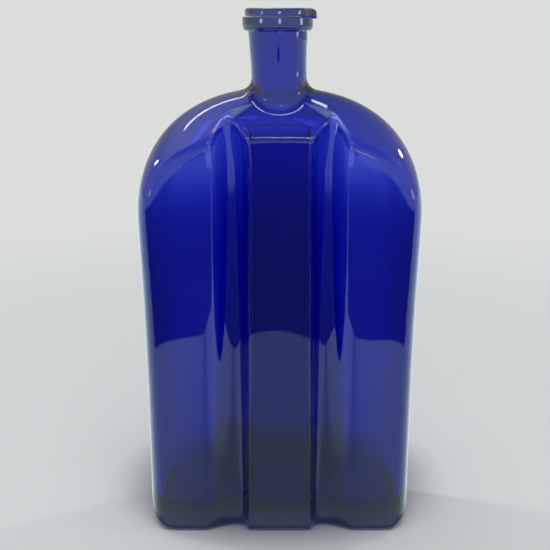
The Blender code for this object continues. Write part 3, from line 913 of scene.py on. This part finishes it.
def cobalt_glass(name, ripple, haze, ior, is_body=False):
    """Cobalt glass: clear, coloured by its depth, with fine ripples, seeds and scuffs."""
    material = bpy.data.materials.new(name)
    material.use_nodes = True
    tree = material.node_tree
    shader = tree.nodes["Principled BSDF"]
    output = tree.nodes["Material Output"]
    shader.inputs["Base Color"].default_value = (*GLASS_TINT, 1)
    shader.inputs["Transmission Weight"].default_value = 1.0
    place = tree.nodes.new("ShaderNodeTexCoord").outputs["Object"]

    # Faces marked as fused bend and mirror no light: there the real glass is one piece.
    fused = tree.nodes.new("ShaderNodeAttribute")
    fused.attribute_name = "fused"
    open_air = maths(tree, "SUBTRACT", 1.0, fused.outputs["Fac"])
    link(tree, maths(tree, "ADD", 1.0, maths(tree, "MULTIPLY", open_air, ior - 1)),
         shader.inputs["IOR"])

    wear = noise(tree, place, SCUFF_SCALE, 6.0).outputs["Fac"]
    smear = remap(tree, wear, *SCUFF_RANGE, haze, haze + SCUFF_HAZE)
    link(tree, maths(tree, "MULTIPLY", smear, open_air), shader.inputs["Roughness"])

    stretched = tree.nodes.new("ShaderNodeMapping")
    stretched.inputs["Scale"].default_value = (1.0, 1.0, RIPPLE_STRETCH)
    link(tree, place, stretched.inputs["Vector"])
    slow = noise(tree, stretched.outputs["Vector"], RIPPLE_SCALE, 2.0).outputs["Fac"]
    rippled = bump(tree, slow, ripple, RIPPLE_DEPTH)
    seeds = tree.nodes.new("ShaderNodeTexVoronoi")
    seeds.inputs["Scale"].default_value = SEED_SCALE
    link(tree, place, seeds.inputs["Vector"])
    pit = remap(tree, seeds.outputs["Distance"], 0.0, SEED_SIZE, 1.0, 0.0)
    link(tree, bump(tree, pit, SEED_STRENGTH, SEED_DEPTH, rippled), shader.inputs["Normal"])

    if is_body:
        up = split(tree, place)[2]
        calmer = remap(tree, up, CREASE_HEIGHT, RIDGE_HEIGHT, ripple, ripple * NECK_RIPPLE_SHARE)
        link(tree, calmer, rippled.node.inputs["Strength"])
        # Painted shade: the front of the throat is tinted darker.
        link(tree, painted_throat_shade(tree, place), shader.inputs["Base Color"])
        # Painted glow: the body's lowest faces emit a faint blue, though no lamp is there.
        low = smooth_remap(tree, up, *BASE_PAINTED_GLOW_HEIGHTS, 1.0, 0.0)
        shader.inputs["Emission Color"].default_value = (*BASE_PAINTED_GLOW, 1)
        link(tree, maths(tree, "MULTIPLY", low, open_air), shader.inputs["Emission Strength"])

    absorb = tree.nodes.new("ShaderNodeVolumeAbsorption")
    absorb.inputs["Color"].default_value = (
        *(1 - rate / ABSORPTION_DENSITY for rate in ABSORPTION), 1)
    absorb.inputs["Density"].default_value = ABSORPTION_DENSITY
    link(tree, absorb.outputs["Volume"], output.inputs["Volume"])
    return material


# ======================== studio
FLOOR_RADIUS = 7.0
FLOOR_DROP = 0.0002
FLOOR_SIDES = 96
PAPER_COLOUR = (0.800, 0.822, 0.822)
PAPER_GRAIN = 0.98                  # the grain's dark specks, as a share of that colour
GRAIN_SCALE = 900.0
BACKDROP = (0.705, 0.725, 0.718)    # the far, evenly lit part of the paper sweep
BACKDROP_FADE = (0.25, 0.80)        # the floor blends into the backdrop between these
PAPER_REACH = 0.353                 # pale floor in front of the bottle, mirrored in its face
PAPER_SIDE = -0.15                  # behind this line the paper runs on to both sides
PAPER_EDGE_BLUR = 0.003
# Painted reflection of the paper near the bottle, dimmer in its middle than at its sides.
NEAR_PAPER_MIDDLE = (0.62, 0.80, 0.90)
NEAR_PAPER_SIDE = (0.98, 1.20, 1.28)
NEAR_PAPER_FADE = (0.03, 0.08)      # distance from the middle line between those two colours
CONTACT_SHADE_REACH = 0.007               # painted shade in the mirrored paper where the bottle all but touches it
CONTACT_SHADE_LEFT = 0.25
TABLE_DARK = (0.10, 0.13, 0.15)     # past the paper's near edge, seen only in the glass
TABLE_FADE = (1.15, 1.45)           # the table gives way to the pale room between these
TABLE_TONGUE = 0.60                 # straight ahead the dark table reaches on by this much
TONGUE_FADE = (0.10, 0.17)
SHADE_CENTRE = (0.0, 0.040, 0.0)    # painted shade of the bottle on the paper behind it, on top of its real shadow
SHADE_SIZE = (0.095, 0.087, 1.0)
SHADE_DEPTH = 0.72
SHADE_FADE = (0.55, 1.10)
PAINTED_BLUE_CAST = (0.005, 0.012, 0.05)    # painted blue light: the painted shade glows faintly blue, as if lit through the glass

AMBIENT = 0.40
AMBIENT_COLOUR = (0.95, 0.98, 1.0)
ROOM = (0.95, 1.15, 1.30)           # the room behind the camera, seen only in the glass
CEILING_LEFT = (1.50, 1.65, 1.75)
CEILING_RIGHT = (0.70, 0.85, 0.95)
CEILING_FRONT = (0.30, 0.37, 0.42)
WINDOW_GLOW = (5.5, 6.5, 8.0)       # small bright panes round the room, seen in the rings
WINDOWS = (                         # azimuth, elevation and half width in degrees
    (-56, 0, 6.0),
    (7, 1, 5.0),
    (82, 1, 6.0),
)
# Parts of the room blend over these spans of a direction's upward, backward or rightward part.
CEILING_BLEND = (0.45, 0.85)
BACK_BLEND = (-0.10, 0.25)
LEFT_RIGHT_BLEND = (-0.25, 0.15)
FRONT_CEILING_BLEND = (-0.16, -0.02)

TUBE_HEIGHT = 1.5
TUBE_WIDTH = 0.07
TUBE_ENDS = {                       # start and end seen from above, and power in watts
    "back_tube": ((-0.96, 0.36), (0.33, -0.07), 3.5),
    "front_tube": ((-0.50, -0.36), (0.45, -0.44), 1.7),
}
FILL_PLACE = (0.1, -0.9, 1.7)
FILL_AIM = (0.0, 0.1, 0.0)
FILL_SIZE = 1.0
FILL_POWER = 7.0
LAMPS = {                           # azimuth and elevation in degrees, and power in watts
    "left_lamp": (-111, 29, 1.5),
    "right_lamp": (121, 29, 2.5),
}
LAMP_DISTANCE = 1.5
LAMP_SIZE = (0.08, 0.10)

CAMERA_SHIFT = -0.0024
CAMERA_DISTANCE = 1.75 * HEIGHT     # in front of the bottle's face
CAMERA_TILT = 15.17                 # degrees down
CAMERA_LENS = 64.5
SENSOR_WIDTH = 36.0
LIGHT_BOUNCES = 24


def direction(azimuth, elevation):
    """Unit vector from the bottle; azimuth 0 is the front and grows to the right."""
    turn, rise = math.radians(azimuth), math.radians(elevation)
    return (
        math.sin(turn) * math.cos(rise), -math.cos(turn) * math.cos(rise), math.sin(rise))


def mirrored_rays(tree):
    """1 for light that comes off a mirroring surface, 0 for light seen plainly or through glass."""
    path = tree.nodes.new("ShaderNodeLightPath")
    not_through = maths(tree, "SUBTRACT", 1.0, path.outputs["Is Transmission Ray"])
    return maths(tree, "MULTIPLY", path.outputs["Is Glossy Ray"], not_through)


def painted_bottle_shade(tree, place):
    """Painted shade: 1 on open paper, darker close behind the bottle."""
    distance = scaled_distance(tree, place, SHADE_CENTRE, SHADE_SIZE)
    return smooth_remap(tree, distance, *SHADE_FADE, 1 - SHADE_DEPTH, 1.0)


def lit_paper(tree, place):
    """The paper as the eye sees it: lit by the lamps, with a painted shade behind the bottle that
    glows faintly blue, fading into the backdrop.
    """
    shader = tree.nodes["Principled BSDF"]
    shader.inputs["Roughness"].default_value = 0.85
    shader.inputs["Specular IOR Level"].default_value = 0.15
    grain = noise(tree, place, GRAIN_SCALE, 4.0).outputs["Fac"]
    speck = tuple(PAPER_GRAIN * part for part in PAPER_COLOUR)
    shade = painted_bottle_shade(tree, place)
    shaded = tree.nodes.new("ShaderNodeVectorMath")
    shaded.operation = "SCALE"
    link(tree, colour_mix(tree, grain, speck, PAPER_COLOUR), shaded.inputs[0])
    link(tree, shade, shaded.inputs["Scale"])
    link(tree, shaded.outputs[0], shader.inputs["Base Color"])
    # Painted light: the paper in the painted shade glows faintly blue.
    painted_blue_glow = tree.nodes.new("ShaderNodeEmission")
    painted_blue_glow.inputs["Color"].default_value = (*PAINTED_BLUE_CAST, 1)
    link(tree, maths(tree, "SUBTRACT", 1.0, shade), painted_blue_glow.inputs["Strength"])
    lit = tree.nodes.new("ShaderNodeAddShader")
    link(tree, shader.outputs[0], lit.inputs[0])
    link(tree, painted_blue_glow.outputs[0], lit.inputs[1])
    far = smooth_remap(tree, length_of(tree, place), *BACKDROP_FADE, 0.0, 1.0)
    return mix_shaders(tree, far, lit.outputs[0], glow(tree, BACKDROP))


def mirrored_table(tree, place):
    """Painted reflection, glowing on the floor for what the glass mirrors: pale paper near by,
    dimmer in the middle and with painted shade where the bottle all but touches it, a dark table
    past its edge, the room.
    """
    across, along, _ = split(tree, place)
    sideways = maths(tree, "ABSOLUTE", across, 0.0)
    forwards = maths(tree, "ABSOLUTE", along, 0.0)
    radius = length_of(tree, place)
    painted_paper_reflection = tree.nodes.new("ShaderNodeEmission")
    side = smooth_remap(tree, sideways, *NEAR_PAPER_FADE, 0.0, 1.0)
    link(tree, colour_mix(tree, side, NEAR_PAPER_MIDDLE, NEAR_PAPER_SIDE),
         painted_paper_reflection.inputs["Color"])
    beside = maths(tree, "SUBTRACT", sideways, RIDGE_HALF_WIDTH)
    before = maths(tree, "SUBTRACT", forwards, HALF_DEPTH)
    clear_of_bottle = maths(tree, "MAXIMUM", beside, before)
    # Painted shade: the mirrored paper is darker where the bottle all but touches it.
    link(tree, smooth_remap(tree, clear_of_bottle, 0.0, CONTACT_SHADE_REACH, CONTACT_SHADE_LEFT, 1.0),
         painted_paper_reflection.inputs["Strength"])

    past_circle = maths(tree, "SUBTRACT", radius, PAPER_REACH)
    past_side = maths(tree, "SUBTRACT", PAPER_SIDE, along)
    past_edge = maths(tree, "MINIMUM", past_circle, past_side)
    off_paper = remap(tree, past_edge, -PAPER_EDGE_BLUR, PAPER_EDGE_BLUR, 0.0, 1.0)
    tongue = smooth_remap(tree, sideways, *TONGUE_FADE, TABLE_TONGUE, 0.0)
    off_table = smooth_remap(
        tree, maths(tree, "SUBTRACT", radius, tongue), *TABLE_FADE, 0.0, 1.0)
    around = mix_shaders(tree, off_table, glow(tree, TABLE_DARK), glow(tree, ROOM))
    return mix_shaders(tree, off_paper, painted_paper_reflection.outputs[0], around)


def paper_material():
    """Pale paper for the eye; for whatever the glass mirrors, a painted reflection of paper, a
    table and a room.
    """
    material = bpy.data.materials.new("pale_paper")
    material.use_nodes = True
    tree = material.node_tree
    place = tree.nodes.new("ShaderNodeNewGeometry").outputs["Position"]
    both = mix_shaders(
        tree, mirrored_rays(tree), lit_paper(tree, place), mirrored_table(tree, place))
    link(tree, both, tree.nodes["Material Output"].inputs["Surface"])
    return material


def stage_mesh(name, corners, material):
    mesh = bpy.data.meshes.new(name)
    mesh.from_pydata(corners, [], [tuple(range(len(corners)))])
    mesh.materials.append(material)
    sheet = bpy.data.objects.new(name, mesh)
    bpy.context.scene.collection.objects.link(sheet)
    return sheet


def build_floor():
    corners = [
        (FLOOR_RADIUS * math.cos(turn), FLOOR_RADIUS * math.sin(turn), -FLOOR_DROP)
        for turn in np.linspace(0, 2 * math.pi, FLOOR_SIDES + 1)[:-1]
    ]
    stage_mesh("floor", corners, paper_material())


def build_world():
    """Even backdrop for the eye, soft fill for the floor, dim room and pale ceiling mirrored."""
    world = bpy.data.worlds.new("studio")
    bpy.context.scene.world = world
    world.use_nodes = True
    tree = world.node_tree
    fill = tree.nodes["Background"]
    fill.inputs["Color"].default_value = (*AMBIENT_COLOUR, 1)
    fill.inputs["Strength"].default_value = AMBIENT
    output = tree.nodes["World Output"]
    heading = tree.nodes.new("ShaderNodeTexCoord").outputs["Generated"]
    across, along, up = split(tree, heading)

    def background(colour, strength=1.0):
        node = tree.nodes.new("ShaderNodeBackground")
        node.inputs["Color"].default_value = (*colour, 1)
        node.inputs["Strength"].default_value = strength
        return node.outputs[0]

    path = tree.nodes.new("ShaderNodeLightPath")
    overhead = smooth_remap(tree, up, *CEILING_BLEND, 0.0, 1.0)
    behind = smooth_remap(tree, along, *BACK_BLEND, 0.0, 1.0)
    rightward = smooth_remap(tree, across, *LEFT_RIGHT_BLEND, 0.0, 1.0)
    ceiling = mix_shaders(
        tree, rightward, background(CEILING_LEFT), background(CEILING_RIGHT))
    room = mix_shaders(tree, behind, background(ROOM), background(BACKDROP))
    past_front = smooth_remap(tree, along, *FRONT_CEILING_BLEND, 0.0, 1.0)
    ceiling = mix_shaders(tree, past_front, background(CEILING_FRONT), ceiling)
    mirrored = mix_shaders(tree, overhead, room, ceiling)
    for azimuth, elevation, spread in WINDOWS:
        pointed = tree.nodes.new("ShaderNodeVectorMath")
        pointed.operation = "DOT_PRODUCT"
        link(tree, heading, pointed.inputs[0])
        pointed.inputs[1].default_value = direction(azimuth, elevation)
        edge = math.cos(math.radians(spread))
        in_window = smooth_remap(
            tree, pointed.outputs["Value"], edge, (1 + edge) / 2, 0.0, 1.0)
        mirrored = mix_shaders(tree, in_window, mirrored, background(WINDOW_GLOW))
    seen = background(BACKDROP)
    direct = maths(
        tree, "MAXIMUM", path.outputs["Is Camera Ray"], path.outputs["Is Transmission Ray"])
    share = mix_shaders(tree, direct, fill.outputs[0], seen)
    link(tree, mix_shaders(tree, mirrored_rays(tree), share, mirrored),
         output.inputs["Surface"])


def soft_light(name, place, aim, width, depth, power):
    light = bpy.data.lights.new(name, "AREA")
    light.shape = "RECTANGLE"
    light.size = width
    light.size_y = depth
    light.energy = power
    lamp = bpy.data.objects.new(name, light)
    bpy.context.scene.collection.objects.link(lamp)
    lamp.location = place
    lamp.rotation_mode = "QUATERNION"
    lamp.rotation_quaternion = (Vector(aim) - Vector(place)).to_track_quat("-Z", "Y")
    return lamp


def lamp_at(name, azimuth, elevation, power):
    """A small lamp seen from the bottle's middle at an azimuth and an elevation."""
    middle = Vector((0, 0, HEIGHT / 2))
    place = middle + LAMP_DISTANCE * Vector(direction(azimuth, elevation))
    return soft_light(name, place, middle, *LAMP_SIZE, power)


def tube_light(name, start, end, power):
    """A long thin lamp level under the ceiling, shining straight down."""
    start, end = Vector((*start, TUBE_HEIGHT)), Vector((*end, TUBE_HEIGHT))
    middle = (start + end) / 2
    tube = soft_light(
        name, middle, middle - Vector((0, 0, 1)), (end - start).length, TUBE_WIDTH, power)
    along = end - start
    face_down = Quaternion((1, 0, 0, 0))
    tube.rotation_quaternion = (
        Quaternion((0, 0, 1), math.atan2(along.y, along.x)) @ face_down)
    return tube


def build_lights():
    for name, (start, end, power) in TUBE_ENDS.items():
        tube_light(name, start, end, power)
    fill = soft_light("front_fill", FILL_PLACE, FILL_AIM, FILL_SIZE, FILL_SIZE, FILL_POWER)
    fill.visible_glossy = False
    for name, (azimuth, elevation, power) in LAMPS.items():
        lamp_at(name, azimuth, elevation, power)


def build_camera():
    """At the height of the bottle's mouth, close in front, looking down at its middle."""
    camera = bpy.data.cameras.new("camera")
    camera.sensor_width = SENSOR_WIDTH
    camera.lens = CAMERA_LENS
    eye = bpy.data.objects.new("camera", camera)
    bpy.context.scene.collection.objects.link(eye)
    eye.location = (CAMERA_SHIFT, -HALF_DEPTH - CAMERA_DISTANCE, HEIGHT)
    eye.rotation_euler = (math.radians(90 - CAMERA_TILT), 0, 0)
    bpy.context.scene.camera = eye


def main():
    build_body(cobalt_glass("body_glass", BODY_RIPPLE, BODY_HAZE, GLASS_IOR, is_body=True))
    build_collar(cobalt_glass("collar_glass", LIP_RIPPLE, LIP_HAZE, LIP_IOR))
    build_rim(cobalt_glass("rim_glass", LIP_RIPPLE, LIP_HAZE, LIP_IOR))
    build_floor()
    build_world()
    build_lights()
    build_camera()
    scene = bpy.context.scene
    scene.view_settings.view_transform = "Standard"
    scene.cycles.max_bounces = LIGHT_BOUNCES
    scene.cycles.transmission_bounces = LIGHT_BOUNCES
    scene.cycles.transparent_max_bounces = LIGHT_BOUNCES


main()
